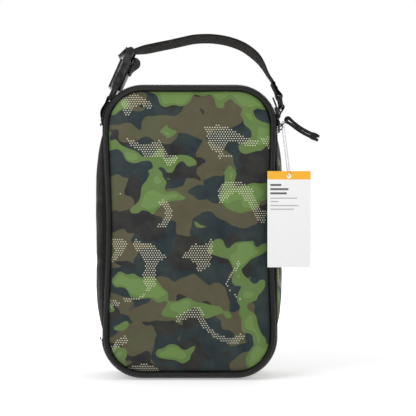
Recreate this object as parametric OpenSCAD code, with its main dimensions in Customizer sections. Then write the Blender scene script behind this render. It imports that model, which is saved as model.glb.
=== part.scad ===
// Insulated cooler bag with a zipped front lid, a buckled carry handle and a swing tag.
// Millimetres, +Z up. The front faces -Y. The origin is at the middle of the base.
// The lid is the front panel. It hinges on the left and is zipped round its other three sides.

/* [Body] */
// Width over the zipper band
body_w = 160; // [150:1:190]
// Height over the base and the top
body_h = 270; // [250:1:310]
// Depth, front to back
body_d = 75; // [70:1:95]
// Outer corner radius of the front panel
corner_r = 36; // [34:1:42]
// How far each side swells out at mid height
side_bulge = 7; // [4:0.5:9]

/* [Fabric] */
// Thickness of the outer fabric
skin_t = 0.8; // [0.6:0.1:1]
// Thickness of the foam in the lid and in the back
foam_t = 4; // [3:0.5:4]
// Thickness of the lining film
liner_t = 0.6; // [0.4:0.1:0.6]
// Diameter of the piping round the front and the back
piping_d = 5; // [4.5:0.1:5]

/* [Zipper] */
// Length of each slider
slider_len = 11; // [9:0.5:12]
// Diameter of the puller's cord
cord_d = 3; // [2.5:0.1:3]
// Length of the cord puller
cord_len = 33; // [25:1:45]

/* [Handle] */
// Width of the webbing
strap_w = 20; // [18:1:24]
// Thickness of the webbing
strap_t = 1.5; // [1.2:0.1:1.6]
// Lean of the buckle towards the middle of the handle, in degrees
buckle_tilt = 24; // [18:1:28]

/* [Swing tag] */
// Width of the card
tag_w = 39; // [30:1:45]
// Height of the card
tag_h = 87; // [60:1:90]

/* [Hidden] */
$fn = 48;

// Clearance between neighbouring pieces, and a length that makes cutters overshoot
gap = 0.1;
over = 1;

// Front panel outline: the zipper band stands band_out proud of it on every side
band_out = 1;
base_lift = 2;
panel_w = body_w - 2 * band_out;
panel_h = body_h - base_lift - 2 * band_out;
mid_z = base_lift + band_out + panel_h / 2;
corner_x = panel_w / 2 - corner_r;
corner_dz = panel_h / 2 - corner_r;
corner_top_z = mid_z + corner_dz;
corner_low_z = mid_z - corner_dz;
zip_face_x = panel_w / 2 + band_out;

// Depth stations of the lid
front_y = -body_d / 2;
back_y = body_d / 2;
piping_r = piping_d / 2;
piping_inset = 0.2;
lid_rear_y = front_y + piping_inset + piping_d;
lid_skin_y = front_y + 0.6;
lid_foam_y = lid_skin_y + skin_t + gap / 2;
lid_liner_y = lid_foam_y + foam_t + gap / 2;

// Depth stations of the zipper, whose two halves face each other across the chain gap
chain_gap = 1.2;
chain_y = lid_rear_y + 7.3;
tape_t = 0.5;
coil_t = 1.45;
coil_w = 2;
lid_edge_y = chain_y - chain_gap / 2;
tub_edge_y = chain_y + chain_gap / 2;
gusset_front_y = tub_edge_y + 5.4;
binding_t = 0.8;

// Depth stations of the tub
gusset_rear_y = back_y - piping_inset - piping_d - gap;
swell_front_y = gusset_front_y + 5;
swell_rear_y = gusset_rear_y - 4;
back_skin_y = back_y - 0.6 - skin_t;
back_foam_y = back_skin_y - foam_t - 1;
liner_rear_y = back_foam_y - gap;
gusset_foam_t = 4.1;
swell_power = 5;
swell_steps = 16;

// Buckle frame: Z runs up the buckle from the socket's bar, X through it, Y across the strap
strap_y = 5;
bar_d = 3;
buckle_bar = [-body_w / 2 + 5, body_h - 8.5];
buckle_w = strap_w + 6;
socket_top = 31;
plug_bar_at = 46;
loop_in = bar_d / 2 + gap;
loop_out = loop_in + strap_t;
loop_mid = (loop_in + loop_out) / 2;

// Handle path in the XZ plane: [straight length] or [radius, turn in degrees]
strap_rise = 13.5;
strap_legs = [[body_w - 102], [75, -38.5], [45, -25], [60, -14], [30]];
plug_bar = buckle_bar + plug_bar_at * [sin(buckle_tilt), cos(buckle_tilt)];
strap_start = plug_bar + loop_mid * [-sin(strap_rise), cos(strap_rise)];
strap_path = walk(strap_start, strap_rise, strap_legs);
strap_end = strap_path[len(strap_path) - 1];
strap_fall = strap_rise + strap_legs[1][1] + strap_legs[2][1] + strap_legs[3][1];

// Ring on the right, hanging from the end of the strap
ring_bar_d = 2.6;
ring_drop = 10;
ring_tilt = -10;
ring_in = ring_bar_d / 2 + gap;
ring_out = ring_in + strap_t;
ring_low = strap_end - ring_drop * [sin(ring_tilt), cos(ring_tilt)];

// Tabs on the upper corners, doubled webbing that stands up from the gusset
tab_low_z = corner_top_z + 5;
tab_low_x = zip_face_x + strap_t + gap;
tab_left_path = [[-tab_low_x, tab_low_z], [-tab_low_x - 1, tab_low_z + 11], buckle_bar];
tab_right_path = [[tab_low_x, tab_low_z], ring_low];
tack_t = 0.4;
tack_len = 1.4;

// Buckle socket, plug and prongs, in the buckle's own frame
socket_x = 12;
socket_edge_r = 4.5;
socket_low = 9.5;
window_z = [socket_low + 5, socket_top - 6];
cavity_x = 5.6;
cavity_y = buckle_w - 4;
socket_wall = 2;
plug_x = 7;
plug_head_x = 12;
plug_shoulder = socket_top + 7;
plug_top = 52;
tongue_y = 5;
tongue_dip = 4;
lever_t = 1.4;
lever_len = 11.5;
lever_lean = 22;
lever_bar = [2.4, 1.8];
lever_bar_x = -5.2;
lever_bar_z = plug_top - 4;
prong_y = 7;
prong_x = 4.8;
prong_t = 2.2;
prong_slot = 3.4;
prong_slot_top = socket_top + 3;
prong_root = prong_slot_top - 0.4;
button_proud = 0.8;
button_play = 0.3;
tail_x = plug_head_x / 2 + strap_t / 2 + 0.5;
tail_len = 17;

// Zipper sliders
slider_w = 9;
plate_t = 1.4;
web_t = 0.8;
slider_lower_z = corner_top_z - 0.5;
slider_upper_angle = 18;
slider_half = [
    [slider_w / 2 - 1.6, slider_len / 2],
    [slider_w / 2, slider_len / 2 - 1.6],
    [slider_w / 2, slider_len / 2 - 4],
    [slider_w / 2 - 1.5, 1 - slider_len / 2],
    [slider_w / 2 - 2.5, -slider_len / 2]
];
plate_lift = 0.4;
arch_r = 2.9;
arch_d = 1.3;
arch_x = coil_t + plate_lift + plate_t - 0.3;
link_d = 1.2;
link_w = 8;
link_len = 9;
link_bend_r = 2;
link_angle = 40;
link_start = [zip_face_x + arch_x + 1.05, slider_lower_z + 0.5];
link_end = link_start + link_len * [cos(link_angle), sin(link_angle)];
cord_angle = -31;
cord_r = cord_d / 2 + link_d / 2 + gap;

// Swing tag
tag_t = 0.5;
tag_y = front_y - 8;
tag_mid_x = 90;
tag_top_z = 190.5;
tag_hole_d = 4;
tag_hole_drop = 4.5;
tag_loop_d = 0.9;
tag_hole = [tag_mid_x, tag_y + tag_t / 2, tag_top_z - tag_hole_drop];
tag_hang_at = 2.3;
tag_hang = [
    link_start[0] + tag_hang_at * cos(link_angle),
    chain_y - link_w / 2,
    link_start[1] + tag_hang_at * sin(link_angle)
];

// A walk through the plane from p with the given heading; each leg is a straight or a right-hand turn
function ahead(h) = [cos(h), sin(h)];
function turn_point(p, h, r, a) = p + r * ([sin(h), -cos(h)] + [-sin(h + a), cos(h + a)]);
function turn_steps(leg) = ceil(-leg[1] / 4);
function walk(p, h, legs, i = 0) =
    i == len(legs) ? [p] :
    len(legs[i]) == 1 ? concat([p], walk(p + legs[i][0] * ahead(h), h, legs, i + 1)) :
    concat(
        [for (k = [0 : turn_steps(legs[i]) - 1])
            turn_point(p, h, legs[i][0], legs[i][1] * k / turn_steps(legs[i]))],
        walk(turn_point(p, h, legs[i][0], legs[i][1]), h + legs[i][1], legs, i + 1)
    );

// Unit normal of a path at point i, and the outline of a ribbon of thickness t along the path
function along(path, i) = path[min(i + 1, len(path) - 1)] - path[max(i - 1, 0)];
function normal(path, i) = [-along(path, i)[1], along(path, i)[0]] / norm(along(path, i));
function side_of(path, d) = [for (i = [0 : len(path) - 1]) path[i] + d * normal(path, i)];
function reversed(list) = [for (i = [len(list) - 1 : -1 : 0]) list[i]];
module ribbon(path, t) {
    polygon(concat(side_of(path, t / 2), reversed(side_of(path, -t / 2))));
}

// An outline drawn in the XZ plane, filled from y0 back to y1
module upright(y0, y1) {
    rotate([90, 0, 0])
        translate([0, 0, -y1])
            linear_extrude(y1 - y0)
                children();
}

// The front panel's rounded outline, moved outwards by grow
module outline(grow) {
    translate([0, mid_z]) {
        square([panel_w + 2 * grow, 2 * corner_dz], center = true);
        square([2 * corner_x, panel_h + 2 * grow], center = true);
        for (x = [-corner_x, corner_x], z = [-corner_dz, corner_dz])
            translate([x, z])
                circle(corner_r + grow);
    }
}

// The same outline with the sides swollen, full for most of their height, and a flat base pad below
module swollen(grow) {
    half_w = panel_w / 2 + grow;
    pad_x = corner_x - 3;
    outline(grow);
    for (side = [-1, 1])
        polygon(concat(
            [for (k = [-swell_steps : swell_steps])
                let (t = k / swell_steps)
                    [side * (half_w + side_bulge * (1 - pow(abs(t), swell_power))), mid_z + corner_dz * t]],
            [[0, corner_top_z], [0, corner_low_z]]
        ));
    translate([0, band_out - grow])
        polygon([[-pad_x, 0], [pad_x, 0], [corner_x, corner_r], [-corner_x, corner_r]]);
}

// A band between two outlines
module band(outer, inner) {
    difference() {
        outline(outer);
        outline(inner);
    }
}

// The left side between the corners, where the lid is hinged and has no zipper
module hinge_side() {
    translate([-panel_w, corner_low_z])
        square([panel_w * 2 / 3, 2 * corner_dz]);
}

// A band that follows the zipper: top, right and bottom, and the corners at each end of the hinge
module zip_band(outer, inner, y0, y1) {
    upright(y0, y1)
        difference() {
            band(outer, inner);
            hinge_side();
        }
}

// A closed wire in the XZ plane with rounded corners, centred on the origin and w by h on its centreline
module wire_loop(w, h, r, d) {
    for (side = [-1, 1]) {
        if (h > 2 * r)
            translate([side * w / 2, 0, r - h / 2])
                cylinder(h = h - 2 * r, d = d);
        if (w > 2 * r)
            translate([r - w / 2, 0, side * h / 2])
                rotate([0, 90, 0])
                    cylinder(h = w - 2 * r, d = d);
    }
    for (quarter = [0 : 3])
        translate([(quarter % 3 == 0 ? 1 : -1) * (w / 2 - r), 0, (quarter < 2 ? 1 : -1) * (h / 2 - r)])
            rotate([90, 0, 0])
                rotate([0, 0, 90 * quarter])
                    rotate_extrude(angle = 90)
                        translate([r, 0])
                            circle(d = d);
}

// Piping whose outer edge lies on the panel outline moved out by grow
module piping(grow, y) {
    inset = grow - piping_r;
    translate([0, y, mid_z])
        wire_loop(panel_w + 2 * inset, panel_h + 2 * inset, corner_r + inset, piping_d);
}

// ---- Tub: gusset, back panel and lining ----

// The gusset's outer fabric all the way round: a plain rim in front and behind, swollen between
module gusset_shell() {
    difference() {
        union() {
            upright(gusset_front_y, gusset_rear_y)
                outline(band_out);
            upright(swell_front_y, swell_rear_y)
                swollen(band_out);
        }
        upright(gusset_front_y - over, gusset_rear_y + over)
            outline(band_out - skin_t);
        upright(swell_front_y + skin_t, swell_rear_y - skin_t)
            swollen(band_out - skin_t);
    }
}

// Everything to the left of x
module left_of(x) {
    translate([x - body_w, -body_d, -over])
        cube([body_w, 2 * body_d, body_h + 2 * over]);
}

module gusset_skin_camo() {
    color("olivedrab")
        difference() {
            gusset_shell();
            left_of(-corner_x);
        }
}

module gusset_skin_black() {
    color("#26282a")
        intersection() {
            gusset_shell();
            left_of(-corner_x - gap);
        }
}

module gusset_foam() {
    color("white")
        upright(swell_front_y + skin_t + gap, swell_rear_y - skin_t - gap)
            difference() {
                swollen(band_out - skin_t - gap);
                outline(band_out - skin_t - gap - gusset_foam_t);
            }
}

module tub_liner() {
    outer = band_out - skin_t - gusset_foam_t - 2 * gap;
    color("silver")
        difference() {
            upright(gusset_front_y, liner_rear_y)
                outline(outer);
            upright(gusset_front_y - over, liner_rear_y - liner_t)
                outline(outer - liner_t);
        }
}

module back_foam() {
    color("white")
        upright(back_foam_y, back_skin_y - gap / 2)
            outline(band_out - piping_d - gap);
}

module back_skin() {
    color("olivedrab")
        upright(back_skin_y, back_skin_y + skin_t)
            outline(band_out - piping_d - gap);
}

module rear_piping() {
    color("#1c1d1e")
        piping(band_out, back_y - piping_inset - piping_r);
}

module tub_binding() {
    color("#1c1d1e")
        upright(gusset_front_y - gap - binding_t, gusset_front_y - gap)
            band(band_out - tape_t - gap, -piping_d - 1);
}

module hinge_strip() {
    color("#26282a")
        upright(lid_rear_y + 1.3, gusset_front_y - gap)
            translate([-panel_w / 2 - band_out, corner_low_z])
                square([skin_t / 2, 2 * corner_dz]);
}

// ---- Zipper ----

module zip_tape_body() {
    color("#202224")
        zip_band(band_out, band_out - tape_t, tub_edge_y, gusset_front_y - gap);
}

module zip_tape_lid() {
    color("#202224")
        zip_band(band_out, band_out - tape_t, lid_rear_y + gap, lid_edge_y);
}

module zip_coil_body() {
    color("#303234")
        zip_band(band_out + coil_t, band_out + gap / 2, tub_edge_y, tub_edge_y + coil_w);
}

module zip_coil_lid() {
    color("#303234")
        zip_band(band_out + coil_t, band_out + gap / 2, lid_edge_y - coil_w, lid_edge_y);
}

// A wire staple on the lid's half of the chain at each end of the zipper
module zip_stops() {
    stop_len = 2.5;
    stop_t = 0.8;
    color("gray")
        for (z = [corner_low_z - stop_len - gap, corner_top_z + gap])
            translate([-zip_face_x - coil_t - gap - stop_t, lid_edge_y - coil_w, z])
                cube([stop_t, coil_w, stop_len]);
}

// Slider frame: Z along the chain with the wide mouth at the top, X outwards from the tape, Y across
module slider_plate(t) {
    rotate([90, 0, 90])
        linear_extrude(t)
            polygon(concat(slider_half, [for (p = reversed(slider_half)) [-p[0], p[1]]]));
}

module slider() {
    top_x = coil_t + plate_lift;
    low_x = -tape_t - plate_lift - plate_t;
    translate([top_x, 0, 0])
        slider_plate(plate_t);
    translate([low_x, 0, 0])
        slider_plate(plate_t);
    translate([low_x, -web_t / 2, slider_len / 2 - 5])
        cube([top_x - low_x + plate_t, web_t, 4]);
    translate([arch_x, 0, 0])
        rotate([90, 0, 0])
            rotate([0, 0, -90])
                rotate_extrude(angle = 180)
                    translate([arch_r, 0])
                        circle(d = arch_d);
}

module slider_lower() {
    color("#2a2b2d")
        translate([zip_face_x, chain_y, slider_lower_z])
            slider();
}

// The upper slider sits on the corner, its mouth facing the lower one
module slider_upper() {
    color("#2a2b2d")
        translate([corner_x, chain_y, corner_top_z])
            rotate([0, -slider_upper_angle, 0])
                translate([corner_r + band_out, 0, 0])
                    mirror([0, 0, 1])
                        slider();
}

// Wire link from the lower slider's arch to the cord
module pull_link() {
    color("#3a3b3d")
        translate([link_start[0], chain_y, link_start[1]])
            rotate([0, -link_angle, 0])
                translate([link_len / 2, 0, 0])
                    rotate([90, 0, 0])
                        wire_loop(link_len, link_w, link_bend_r, link_d);
}

// Flat pull tab of the upper slider, lying along the corner; its end bar passes through the arch
module pull_tab_upper() {
    tab_t = 1;
    tab_len = 13;
    tab_half_w = 2.6;
    bar_half = 0.6;
    slot = 3.2;
    lie_angle = 87;
    bar_x = arch_x + 1.35;
    color("#3a3b3d")
        translate([corner_x, chain_y, corner_top_z])
            rotate([0, -slider_upper_angle, 0])
                translate([corner_r + band_out + bar_x, 0, 0])
                    rotate([0, lie_angle, 0])
                        mirror([1, 0, 0])
                            difference() {
                                union() {
                                    translate([-bar_half, -tab_half_w, -tab_t / 2])
                                        cube([tab_len, 2 * tab_half_w, tab_t]);
                                    translate([tab_len - bar_half, 0, -tab_t / 2])
                                        cylinder(h = tab_t, r = tab_half_w);
                                }
                                translate([bar_half, -slot / 2, -tab_t])
                                    cube([slot, slot, 2 * tab_t]);
                            }
}

// Doubled cord looped through the link
module pull_cord() {
    color("#1c1d1e")
        translate([link_end[0], chain_y, link_end[1]])
            rotate([0, -cord_angle, 0]) {
                for (side = [-1, 1])
                    translate([0, 0, side * cord_r])
                        rotate([0, 90, 0])
                            cylinder(h = cord_len, d = cord_d);
                rotate([90, 0, 0])
                    rotate([0, 0, 90])
                        rotate_extrude(angle = 180)
                            translate([cord_r, 0])
                                circle(d = cord_d);
            }
}

// Thread wound round both strands near their ends
module cord_whipping() {
    whip_len = 5;
    whip_t = 0.8;
    whip_back = 2;
    color("#151617")
        translate([link_end[0], chain_y, link_end[1]])
            rotate([0, -cord_angle, 0])
                translate([cord_len - whip_len - whip_back, 0, 0])
                    rotate([90, 0, 90])
                        linear_extrude(whip_len)
                            difference() {
                                union() {
                                    for (side = [-1, 1])
                                        translate([0, side * cord_r])
                                            circle(cord_d / 2 + whip_t);
                                    square([cord_d + 2 * whip_t, 2 * cord_r], center = true);
                                }
                                for (side = [-1, 1])
                                    translate([0, side * cord_r])
                                        circle(cord_d / 2 + gap / 2);
                            }
}

// ---- Lid ----

module lid_skin() {
    color("olivedrab")
        upright(lid_skin_y, lid_skin_y + skin_t)
            outline(-piping_d - gap);
}

module lid_foam() {
    color("white")
        upright(lid_foam_y, lid_foam_y + foam_t)
            outline(-piping_d - gap);
}

module lid_liner() {
    color("silver")
        upright(lid_liner_y, lid_liner_y + liner_t)
            outline(-piping_d - gap);
}

module front_piping() {
    color("#1c1d1e")
        piping(0, front_y + piping_inset + piping_r);
}

module lid_binding() {
    color("#1c1d1e")
        zip_band(band_out - tape_t - gap, -piping_d, lid_rear_y + gap, lid_rear_y + gap + binding_t);
}

// ---- Handle ----

module across_strap(w) {
    upright(strap_y - w / 2, strap_y + w / 2)
        children();
}

// A round bar or hole that crosses the strap at point p
module strap_eye(p, r, w) {
    across_strap(w)
        translate(p)
            circle(r);
}

// A point x to the right of the plug's bar and z above it, in the buckle's leaning frame
function beside_plug(x, z) =
    plug_bar + x * [cos(buckle_tilt), -sin(buckle_tilt)] + z * [sin(buckle_tilt), cos(buckle_tilt)];

// Webbing strip with its left end through the plug and its right end round the ring
module handle_webbing() {
    tail = [
        beside_plug(loop_mid, -1),
        beside_plug(tail_x, plug_shoulder - plug_bar_at),
        beside_plug(tail_x + 0.4, -tail_len)
    ];
    hem_len = 16;
    hem = [for (i = [1, 0]) strap_end - hem_len * i * ahead(strap_fall)];
    color("#26282a")
        difference() {
            union() {
                across_strap(strap_w)
                    ribbon(strap_path, strap_t);
                across_strap(strap_w)
                    ribbon(tail, strap_t);
                across_strap(strap_w)
                    ribbon(hem, 2 * strap_t);
                strap_eye(plug_bar, loop_out, strap_w);
                strap_eye(strap_end, ring_out, strap_w);
            }
            strap_eye(plug_bar, loop_in, strap_w + over);
            strap_eye(strap_end, ring_in, strap_w + over);
        }
}

// Tacking across a doubled strap at point p of its path, on the side that side picks
module bar_tack(p, h, side) {
    translate([p[0], strap_y, p[1]])
        rotate([0, -h, 0])
            translate([0, 0, side * (strap_t + gap / 2 + tack_t / 2)])
                cube([tack_len, strap_w - 4, tack_t], center = true);
}

// Two rows of tacking on the hem by the ring
module webbing_stitches() {
    color("#111213")
        for (back = [7, 13])
            bar_tack(strap_end - back * ahead(strap_fall), strap_fall, 1);
}

module strap_ring() {
    color("#232426")
        translate([ring_low[0], strap_y, ring_low[1]])
            rotate([0, ring_tilt, 0])
                translate([0, 0, ring_drop / 2])
                    rotate([0, 0, 90])
                        wire_loop(strap_w + 5, ring_drop, 3, ring_bar_d);
}

// A webbing tab: doubled strip from the gusset's corner up to a bar
module tab(path, hole_r) {
    bar = path[len(path) - 1];
    color("#26282a")
        difference() {
            union() {
                across_strap(strap_w)
                    ribbon(path, 2 * strap_t);
                strap_eye(bar, hole_r + strap_t, strap_w);
            }
            strap_eye(bar, hole_r, strap_w + over);
        }
}

module tab_left() {
    tab(tab_left_path, loop_in);
}

module tab_right() {
    tab(tab_right_path, ring_in);
}

// Tacking at distance up along a tab's first leg
module tab_tack(path, up, side) {
    rise = path[1] - path[0];
    bar_tack(path[0] + up * rise / norm(rise), atan2(rise[1], rise[0]), side);
}

// Tacking across the foot of each tab
module tab_stitches() {
    color("#111213")
        for (up = [3, 7]) {
            tab_tack(tab_left_path, up, 1);
            tab_tack(tab_right_path, up, -1);
        }
}

// ---- Buckle ----

module at_buckle() {
    translate([buckle_bar[0], strap_y, buckle_bar[1]])
        rotate([0, buckle_tilt, 0])
            children();
}

// A block centred on X and Y that stands from z0 to z1
module block(x, y, z0, z1) {
    translate([-x / 2, -y / 2, z0])
        cube([x, y, z1 - z0]);
}

// A bar across the strap at height z
module cross_bar(z, w, d) {
    translate([0, -w / 2, z])
        rotate([-90, 0, 0])
            cylinder(h = w, d = d);
}

// A block whose two broad faces are edged with quarter rounds, from z0 to z1
module soft_block(x, y, z0, z1, r) {
    translate([0, 0, z0])
        linear_extrude(z1 - z0) {
            square([x - 2 * r, y], center = true);
            square([x, y - 2 * r], center = true);
            for (sx = [-1, 1], sy = [-1, 1])
                translate([sx * (x / 2 - r), sy * (y / 2 - r)])
                    circle(r);
        }
}

module buckle_socket() {
    color("#1d1e20")
        at_buckle() {
            difference() {
                soft_block(socket_x, buckle_w, socket_low, socket_top, socket_edge_r);
                block(cavity_x, cavity_y, socket_low + socket_wall, socket_top + over);
                block(cavity_x, buckle_w + 2 * over, window_z[0], window_z[1]);
            }
            cross_bar(0, buckle_w, bar_d);
            for (side = [-1, 1])
                translate([0, side * (buckle_w - socket_wall) / 2, 0])
                    block(bar_d, socket_wall, 0, socket_low + over);
        }
}

// Ladder-lock frame: a head over the socket, two arms with round tops joined by the webbing's bar,
// and the lever that frees the strap, on a bar of its own
module buckle_plug() {
    color("#1d1e20")
        at_buckle() {
            difference() {
                union() {
                    soft_block(plug_head_x, buckle_w, socket_top + gap, plug_shoulder, socket_edge_r);
                    block(plug_x, buckle_w, plug_shoulder - over, plug_top - plug_x / 2);
                    cross_bar(plug_top - plug_x / 2, buckle_w, plug_x);
                }
                block(plug_head_x + over, strap_w + 1, plug_shoulder + over, plug_top + over);
                for (side = [-1, 1])
                    translate([0, side * prong_y, 0])
                        block(cavity_x, prong_slot, socket_top - over, prong_slot_top);
            }
            cross_bar(plug_bar_at, strap_w + 1, bar_d);
            block(prong_x, tongue_y, socket_low + tongue_dip, socket_top + over);
            translate([lever_bar_x, -buckle_w / 2, lever_bar_z])
                cube([lever_bar[0], buckle_w, lever_bar[1]]);
            plug_lever();
        }
}

// Thin flap that leans away from the plug, hinged by its own spring on the lever bar
module plug_lever() {
    translate([-plug_x / 2, 0, lever_bar_z + lever_bar[1]])
        rotate([0, lever_lean, 0])
            translate([-lever_t, -strap_w / 2 - 1.5, -lever_len])
                cube([lever_t, strap_w + 3, lever_len]);
}

// One spring arm: a leg down into the socket, with a button that fills the side window
module prong(side) {
    button_y = buckle_w / 2 + button_proud;
    color("#1d1e20")
        at_buckle()
            scale([1, side, 1]) {
                translate([0, prong_y, 0])
                    block(prong_x, prong_t, window_z[0] + 1, prong_root);
                translate([0, (prong_y + button_y) / 2, 0])
                    block(prong_x, button_y - prong_y, window_z[0] + button_play, window_z[1] - button_play);
            }
}

module prong_front() {
    prong(-1);
}

module prong_rear() {
    prong(1);
}

// ---- Swing tag ----

module swing_tag() {
    color("whitesmoke")
        upright(tag_y, tag_y + tag_t)
            difference() {
                translate([tag_mid_x - tag_w / 2, tag_top_z - tag_h])
                    square([tag_w, tag_h]);
                translate([tag_hole[0], tag_hole[2]])
                    circle(d = tag_hole_d);
            }
}

// Thin loop that hangs on the link's near side wire and passes through the hole in the card
module tag_loop() {
    bend_r = 2.6;
    rise = tag_hang - tag_hole;
    up = rise / norm(rise);
    color("gainsboro")
        translate((tag_hang + tag_hole + bend_r * up) / 2)
            rotate([0, acos(up[2]), atan2(up[1], up[0])])
                wire_loop(2 * bend_r, norm(rise) + bend_r, bend_r, tag_loop_d);
}

back_skin();
back_foam();
gusset_skin_camo();
gusset_skin_black();
gusset_foam();
tub_liner();
rear_piping();
zip_tape_body();
zip_coil_body();
tub_binding();
hinge_strip();
tab_left();
tab_right();
tab_stitches();
lid_skin();
lid_foam();
lid_liner();
front_piping();
lid_binding();
zip_tape_lid();
zip_coil_lid();
zip_stops();
slider_lower();
pull_link();
pull_cord();
cord_whipping();
slider_upper();
pull_tab_upper();
swing_tag();
tag_loop();
strap_ring();
handle_webbing();
webbing_stitches();
buckle_socket();
buckle_plug();
prong_front();
prong_rear();
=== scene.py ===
"""Insulated cooler bag: the soft pieces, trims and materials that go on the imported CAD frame.

Metres, in the CAD frame: +Z up, the zipped front lid faces -Y, the lid's hinge is on the left (-X).
"""

import math

import bpy
import numpy as np
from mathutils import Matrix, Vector, noise


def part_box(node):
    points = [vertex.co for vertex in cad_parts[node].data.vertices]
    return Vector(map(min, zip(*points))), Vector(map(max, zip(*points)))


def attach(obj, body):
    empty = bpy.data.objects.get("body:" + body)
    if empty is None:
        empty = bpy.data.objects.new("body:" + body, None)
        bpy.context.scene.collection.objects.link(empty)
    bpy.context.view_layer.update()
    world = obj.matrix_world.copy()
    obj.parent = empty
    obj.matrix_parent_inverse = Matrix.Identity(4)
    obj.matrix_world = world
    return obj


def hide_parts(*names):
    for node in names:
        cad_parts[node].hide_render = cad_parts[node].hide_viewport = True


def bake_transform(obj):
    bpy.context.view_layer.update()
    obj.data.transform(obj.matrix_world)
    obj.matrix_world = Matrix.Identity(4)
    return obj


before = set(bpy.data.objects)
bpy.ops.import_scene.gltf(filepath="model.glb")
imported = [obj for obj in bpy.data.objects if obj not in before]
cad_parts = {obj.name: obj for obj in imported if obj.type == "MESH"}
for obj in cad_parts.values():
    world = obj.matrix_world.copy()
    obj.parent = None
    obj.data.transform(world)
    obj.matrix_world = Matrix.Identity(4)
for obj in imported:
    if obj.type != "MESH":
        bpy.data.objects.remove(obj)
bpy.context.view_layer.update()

# ---- Sizes shared by the pieces ----

MM = 0.001
PIPING_LO, PIPING_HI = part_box("front_piping")
HALF_W = (PIPING_HI[0] - PIPING_LO[0]) / 2
HALF_H = (PIPING_HI[2] - PIPING_LO[2]) / 2
MID_Z = (PIPING_HI[2] + PIPING_LO[2]) / 2
PIPING_R = (PIPING_HI[1] - PIPING_LO[1]) / 2
CORNER_R = 36 * MM
CORNER_X = HALF_W - CORNER_R
CORNER_Z = HALF_H - CORNER_R
QUARTER = math.pi / 2 * CORNER_R
ZIP_LENGTH = 4 * QUARTER + 4 * CORNER_X + 2 * CORNER_Z
AROUND = ZIP_LENGTH + 2 * CORNER_Z
BAND_OUT = 1 * MM
WAIST = 3 * MM
FRONT_PIPING_Y = (PIPING_LO[1] + PIPING_HI[1]) / 2
REAR_PIPING_Y = (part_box("rear_piping")[0][1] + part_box("rear_piping")[1][1]) / 2
CHAIN_Y = (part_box("slider_lower")[0][1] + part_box("slider_lower")[1][1]) / 2
STRAP_Y = (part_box("handle_webbing")[0][1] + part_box("handle_webbing")[1][1]) / 2
STRAP_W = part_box("handle_webbing")[1][1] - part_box("handle_webbing")[0][1]
STRAP_T = 1.5 * MM


# ---- Numbers and noise ----


def smooth(value):
    """0 below 0, 1 above 1 and an even rise between."""
    t = np.clip(value, 0, 1)
    return t * t * (3 - 2 * t)


def ripple(x, y=0.0, z=0.0):
    """Smooth noise from about -1 to 1 that varies over a distance of about 1."""
    return noise.noise(Vector((x, y, z)))


def direction(angle):
    """Unit vector in the XZ plane, at an angle in degrees anticlockwise from +X."""
    return np.array((math.cos(math.radians(angle)), math.sin(math.radians(angle))))


def outline_at(s, grow=0.0):
    """Point and outward normal, as (x, z), at a distance s clockwise round the lid outline moved out by grow.
    s is 0 where the zipper starts, at the top of the hinge, and ZIP_LENGTH where it ends."""
    s = s % AROUND
    corners = (
        (-CORNER_X, CORNER_Z, 180, 2 * CORNER_X),
        (CORNER_X, CORNER_Z, 90, 2 * CORNER_Z),
        (CORNER_X, -CORNER_Z, 0, 2 * CORNER_X),
        (-CORNER_X, -CORNER_Z, -90, 2 * CORNER_Z),
    )
    for x, z, first_angle, straight in corners:
        normal = direction(first_angle - math.degrees(min(s, QUARTER) / CORNER_R))
        point = np.array((x, MID_Z + z)) + (CORNER_R + grow) * normal
        if s <= QUARTER:
            return point, normal
        s -= QUARTER
        if s <= straight:
            return point + s * np.array((normal[1], -normal[0])), normal
        s -= straight
    return point, normal


# ---- Meshes ----


def add_object(name, data):
    obj = bpy.data.objects.new(name, data)
    bpy.context.scene.collection.objects.link(obj)
    return obj


def smooth_mesh(name, verts, faces, uvs=None):
    """A smooth-shaded mesh with a fabric layer; uvs holds a pair for each corner of each face."""
    mesh = bpy.data.meshes.new(name)
    mesh.from_pydata(verts, [], faces)
    layer = mesh.uv_layers.new(name="fabric")
    if uvs:
        layer.data.foreach_set("uv", np.array(uvs, np.float32).ravel())
    mesh.polygons.foreach_set("use_smooth", [True] * len(faces))
    return mesh


def surface(name, grid, along, across, wrap_rows=False, wrap_cols=False, caps=False, facing=None):
    """Quads over a grid of points. along and across are the fabric's own coordinates of the rows and columns,
    in millimetres, with one more value than the grid has where it wraps."""
    grid = np.asarray(grid, float)
    rows, cols = grid.shape[:2]
    faces = []
    uvs = []
    for i in range(rows if wrap_rows else rows - 1):
        for j in range(cols if wrap_cols else cols - 1):
            right = (i + 1) % rows
            up = (j + 1) % cols
            faces.append((i * cols + j, right * cols + j, right * cols + up, i * cols + up))
            uvs += [(along[i], across[j]), (along[i + 1], across[j])]
            uvs += [(along[i + 1], across[j + 1]), (along[i], across[j + 1])]
    if caps:
        for row in (0, rows - 1):
            faces.append([row * cols + j for j in range(cols)])
            uvs += [(along[row], across[j]) for j in range(cols)]
    mesh = smooth_mesh(name, grid.reshape(-1, 3).tolist(), faces, uvs)
    if facing is not None:
        total = sum((p.normal * p.area for p in mesh.polygons), Vector())
        if total.dot(Vector(facing)) < 0:
            mesh.flip_normals()
    elif sum(p.center.dot(p.normal) * p.area for p in mesh.polygons) < 0:
        mesh.flip_normals()
    return add_object(name, mesh)


def frames(path, closed):
    """Two cross directions at each point of a path, turned as little as possible along it."""
    path = np.asarray(path, float)
    if closed:
        ahead = np.roll(path, -1, 0) - np.roll(path, 1, 0)
    else:
        ahead = np.gradient(path, axis=0)
    tangent = ahead / np.linalg.norm(ahead, axis=1)[:, None]
    side = np.cross(tangent[0], (0.0, 1.0, 0.0))
    if np.linalg.norm(side) < 0.1:
        side = np.cross(tangent[0], (1.0, 0.0, 0.0))
    sides = []
    for t in tangent:
        side = side - t * side.dot(t)
        side = side / np.linalg.norm(side)
        sides.append(side)
    sides = np.array(sides)
    return sides, np.cross(tangent, sides)


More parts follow.
